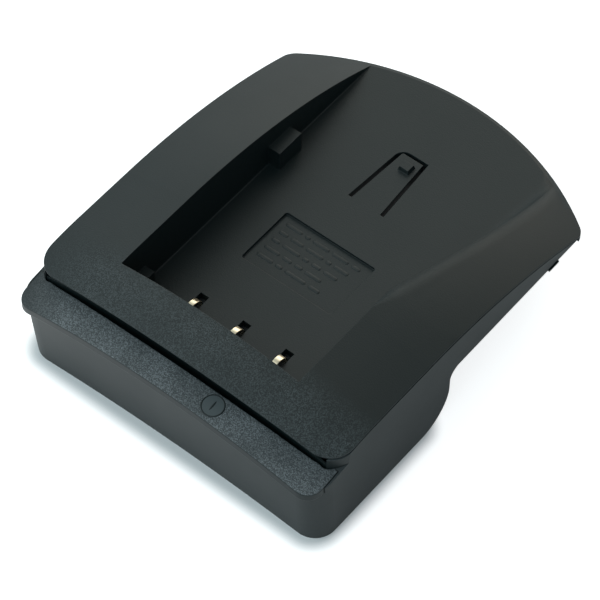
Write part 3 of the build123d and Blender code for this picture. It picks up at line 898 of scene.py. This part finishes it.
@dataclass
class Electronics:
    """Board, the parts on it, the terminals and the screws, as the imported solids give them."""

    laminate: SolidPart = SolidPart("solder_masked_laminate", "#1d5233", "#276a43", 0.5, 0.35)
    epoxy: SolidPart = SolidPart("moulded_epoxy", "#1b1b1c", "#2a2a2b", 0.15, 0.6)
    nylon: SolidPart = SolidPart("moulded_nylon", "#202223", "#2b2d2e", 0.3, 0.5)
    ferrite: SolidPart = SolidPart("sintered_ferrite", "#3a3938", "#4a4846", 0.2, 0.7)
    ceramic: SolidPart = SolidPart("fired_ceramic", "#6b5a48", "#8a7862", 0.2, 0.5)
    copper: PlatedMetal = PlatedMetal("enamelled_copper_wire", "#b4622d", 0.3, 0.25)
    can: PlatedMetal = PlatedMetal("drawn_aluminium", "#c9cbcd", 0.3, 0.1)
    steel: PlatedMetal = PlatedMetal("zinc_plated_steel", "#a9abad", 0.35, 0.1)

    def dress(self, gold: bpy.types.Material) -> None:
        """Dresses the inner nodes.

        Args:
            gold: finish of the contacts, which the dock's blades share
        """
        finishes = {
            self.laminate: ("circuit_board",),
            self.epoxy: ("control_chip", "power_transistor", "rectifier_diode"),
            self.nylon: ("contact_carrier", "dock_block"),
            self.ferrite: ("choke_core",),
            self.ceramic: ("sense_resistor", "chip_parts"),
            self.copper: ("choke_winding",),
            self.can: ("filter_capacitor",),
            self.steel: ("case_screws", "board_screws"),
        }
        for finish, names in finishes.items():
            material = finish.material()
            for name in names:
                dress(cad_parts[name], material)
        dress(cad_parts["dock_blades"], gold)


@dataclass(frozen=True)
class Lobe:
    """One soft panel of the tent, whose strength falls off from its middle as a power of the cosine.

    Attributes:
        way: direction from the cradle to its middle
        power: power of the cosine, higher for a smaller panel
        colour: colour of its light
        strength: strength in its middle
    """

    way: tuple[float, float, float]
    power: float
    colour: str
    strength: float


@dataclass
class Studio:
    """White table under a soft tent of light, and the camera.

    Attributes:
        target: point that the camera looks at
        view: direction from the target to the camera
        distance: from target to camera
        sensor: width of the camera's sensor
        lens: focal length
        clip: nearest and farthest distance that the camera sees
        table: half size of the table
        table_z: height of the table, just under the foot
        table_steps: points along each side of the table
        card: colour of the table in the overhang's painted shadow and outside it
        seen_lift: extra light of the table where the camera sees it, so that it is white
        mirror_lift: extra light of the table where a surface mirrors it: in front at the left, in front at the
            right, and elsewhere
        mirror_x: x where the left light ends and x where the right light is reached
        mirror_y: y where the light elsewhere ends and y where the light in front is reached
        under: x and y of the middle of the overhang's painted soft shadow, and its half width and half length
        core: share of the shadow's size from which it fades
        foot: x and y of the middle of the box's foot, its half width and half length, and its corners' radius
        contact: distance from the foot at which its painted contact shadow ends
        tent: colour and strength of the tent all round
        lobes: brighter panels of the tent
    """

    target: tuple[float, float, float] = (1.73, -7.4, 8.0)
    view: tuple[float, float, float] = (0.3721, -0.4589, 0.8068)
    distance: float = 524.2
    sensor: float = 36.0
    lens: float = 193.44
    clip: tuple[float, float] = (10.0, 20000.0)
    table: float = 3000.0
    table_z: float = -0.02
    table_steps: int = 9
    card: tuple[str, str] = ("#363636", "#e6e6e6")
    seen_lift: float = 0.75
    mirror_lift: tuple[float, float, float] = (0.65, 0.15, 0.08)
    mirror_x: tuple[float, float] = (-36.0, 30.0)
    mirror_y: tuple[float, float] = (-38.0, -44.0)
    under: tuple[float, float, float, float] = (-3.0, 12.0, 28.0, 32.0)
    core: float = 0.5
    foot: tuple[float, float, float, float, float] = (0.0, -23.7, 30.0, 14.8, 3.0)
    contact: float = 3.6
    tent: tuple[str, float] = ("#ffffff", 0.15)
    lobes: tuple[Lobe, ...] = (
        Lobe((-0.30, 0.82, 0.48), 12.0, "#fffcf0", 1.95),
        Lobe((-0.75, 0.45, 0.48), 12.0, "#e1f9ff", 0.85),
        Lobe((-0.37, 0.50, 0.78), 12.0, "#e8ffff", 0.2),
        Lobe((-0.50, -0.60, 0.62), 6.0, "#eafcff", 2.12),
        Lobe((0.50, -0.60, 0.62), 6.0, "#d8f3ff", 1.12),
    )

    def camera(self) -> None:
        """Places the camera at the photograph's angle."""
        data = bpy.data.cameras.new("camera")
        data.sensor_width = self.sensor
        data.lens = self.lens
        data.clip_start = self.clip[0] * MM
        data.clip_end = self.clip[1] * MM
        eye = Vector(self.view).normalized()
        camera = bpy.data.objects.new("camera", data)
        camera.location = (Vector(self.target) + eye * self.distance) * MM
        camera.rotation_euler = eye.to_track_quat("Z", "Y").to_euler()
        bpy.context.scene.collection.objects.link(camera)
        bpy.context.scene.camera = camera

    def beside_foot(self, tree: bpy.types.NodeTree, place: bpy.types.NodeSocket) -> bpy.types.NodeSocket:
        """Share of the lift beside the foot, from 0 at its outline to 1 where the painted contact shadow ends.

        The distance from a rectangle with rounded corners is the length of max(|p - middle| - inner half size, 0)
        less the corners' radius, where the inner half size is the half size less that radius.

        Args:
            tree: node tree of the table's material
            place: point on the table

        Returns:
            the share
        """
        x, y, wide, long, corner = self.foot
        inner = ((wide - corner) * MM, (long - corner) * MM, 1.0)
        off = add_node(tree, "ShaderNodeVectorMath", {0: place, 1: (x * MM, y * MM, 0.0)}, operation="SUBTRACT")
        off = add_node(tree, "ShaderNodeVectorMath", {0: off.outputs[0]}, operation="ABSOLUTE")
        off = add_node(tree, "ShaderNodeVectorMath", {0: off.outputs[0], 1: inner}, operation="SUBTRACT")
        off = add_node(tree, "ShaderNodeVectorMath", {0: off.outputs[0], 1: (0.0, 0.0, 0.0)}, operation="MAXIMUM")
        off = add_node(tree, "ShaderNodeVectorMath", {0: off.outputs[0]}, operation="LENGTH")
        return ramp(tree, off.outputs["Value"], corner * MM, (corner + self.contact) * MM, interpolation="SMOOTHSTEP")

    def white_card(self) -> bpy.types.Material:
        """Builds the table's material: white card that keeps the shadow and is lifted to white where it is seen.

        The overhang's shadow is painted: an ellipse of darker card without the seen lift, which fades from its core to
        its rim. The lift is the seen light outside this painted shadow and beside the foot for the camera's own view,
        and the mirrored light for reflections.

        Returns:
            the material
        """
        material, tree = new_material("white_card")
        path = add_node(tree, "ShaderNodeLightPath")
        place = add_node(tree, "ShaderNodeTexCoord").outputs["Object"]
        axes = add_node(tree, "ShaderNodeSeparateXYZ", {0: place})
        left, right, elsewhere = self.mirror_lift
        across = ramp(tree, axes.outputs["X"], self.mirror_x[0] * MM, self.mirror_x[1] * MM, left, right)
        ahead = ramp(tree, axes.outputs["Y"], self.mirror_y[0] * MM, self.mirror_y[1] * MM, elsewhere, across)
        mirror_ray = calc(tree, "MAXIMUM", path.outputs["Is Glossy Ray"], path.outputs["Is Transmission Ray"])
        mirrored = calc(tree, "MULTIPLY", mirror_ray, ahead)
        x, y, wide, long = self.under
        # Painted shadow under the overhang: darker card and no seen lift inside a soft ellipse.
        painted_shadow_spot = add_node(tree, "ShaderNodeMapping", {
            "Vector": place, "Location": (x * MM, y * MM, 0.0), "Scale": (wide * MM, long * MM, 1.0)},
            vector_type="TEXTURE")
        off = add_node(tree, "ShaderNodeVectorMath", {0: painted_shadow_spot.outputs[0]}, operation="LENGTH")
        clear = ramp(tree, off.outputs["Value"], self.core, 1.0, interpolation="SMOOTHSTEP")
        seen = calc(tree, "MULTIPLY", clear, self.seen_lift)
        # Painted contact shadow: the seen lift fades out towards the foot.
        seen = calc(tree, "MULTIPLY", seen, self.beside_foot(tree, place))
        shader = add_node(tree, "ShaderNodeBsdfPrincipled", {
            "Base Color": mix(tree, clear, linear(self.card[0]), linear(self.card[1])),
            "Roughness": 0.9, "Specular IOR Level": 0.0, "Emission Color": linear("#ffffff"),
            "Emission Strength": calc(tree, "MULTIPLY_ADD", path.outputs["Is Camera Ray"], seen, mirrored)})
        put_out(tree, shader)
        return material

    def floor(self) -> None:
        """Lays the table: a flat square grid."""
        side = np.linspace(-self.table, self.table, self.table_steps)
        x, y = np.meshgrid(side, side, indexing="ij")
        points = np.stack([x, y, np.full_like(x, self.table_z)], axis=-1)
        index = np.arange(x.size).reshape(x.shape)
        quads = np.stack([index[:-1, :-1], index[1:, :-1], index[1:, 1:], index[:-1, 1:]], axis=-1).reshape(-1, 4)
        mesh = bpy.data.meshes.new("table")
        mesh.from_pydata((points.reshape(-1, 3) * MM).tolist(), [], quads.tolist())
        table = bpy.data.objects.new("table", mesh)
        bpy.context.scene.collection.objects.link(table)
        dress(table, self.white_card())

    def light(self) -> None:
        """Hangs the tent.

        In direction d the tent's light is its even part plus, for each panel, the panel's colour and strength
        times the cosine between d and the panel's middle, raised to the panel's power.
        """
        world = bpy.data.worlds.new("tent")
        bpy.context.scene.world = world
        world.use_nodes = True
        tree = world.node_tree
        tree.nodes.clear()
        way = add_node(tree, "ShaderNodeTexCoord").outputs["Generated"]
        total = add_node(tree, "ShaderNodeVectorMath", {
            0: linear(self.tent[0])[:3], "Scale": self.tent[1]}, operation="SCALE").outputs[0]
        for lobe in self.lobes:
            middle = Vector(lobe.way).normalized()[:]
            cosine = add_node(tree, "ShaderNodeVectorMath", {0: way, 1: middle}, operation="DOT_PRODUCT")
            fall = calc(tree, "POWER", calc(tree, "MAXIMUM", cosine.outputs["Value"], 0.0), lobe.power)
            glow = tuple(lobe.strength * part for part in linear(lobe.colour)[:3])
            total = add_node(tree, "ShaderNodeVectorMath", {
                0: fall, 1: glow, 2: total}, operation="MULTIPLY_ADD").outputs[0]
        back = add_node(tree, "ShaderNodeBackground", {"Color": total, "Strength": 1.0})
        add_node(tree, "ShaderNodeOutputWorld", {"Surface": back.outputs[0]})

    def build(self) -> None:
        """Sets up camera, table and light."""
        bpy.context.scene.view_settings.view_transform = "Standard"
        self.camera()
        self.floor()
        self.light()


def main() -> None:
    """Builds the cradle's looks in order."""
    logging.basicConfig(level=logging.INFO)
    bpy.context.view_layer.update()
    plain = MouldedAbs("moulded_abs_marks", texture=Texture.PLAIN, front_texture=Texture.PLAIN, edge_mm=0.05).material()
    # Painted sheen: the insert's grey, paler than the black body, stands in for the reflection on its smooth face.
    sheen_insert = MouldedAbs("polished_abs_insert", colour="#444c4e", dull="#444c4e", grain_glint="#444c4e", roughness=0.4,
                        texture=Texture.PLAIN, front_texture=Texture.PLAIN, edge_mm=0.05).material()
    gold = PlatedMetal("gold_plated_bronze", "#f1e2c6").material()
    strip = CoverStrip()
    strip.cover(Case().dress())
    strip.groove(plain)
    PanelMarks().build(plain)
    WallFoot().build(plain)
    MouldRing().build(plain, sheen_insert)
    ContactSprings().build(gold)
    Electronics().dress(gold)
    Studio().build()


if __name__ == "__main__":
    main()
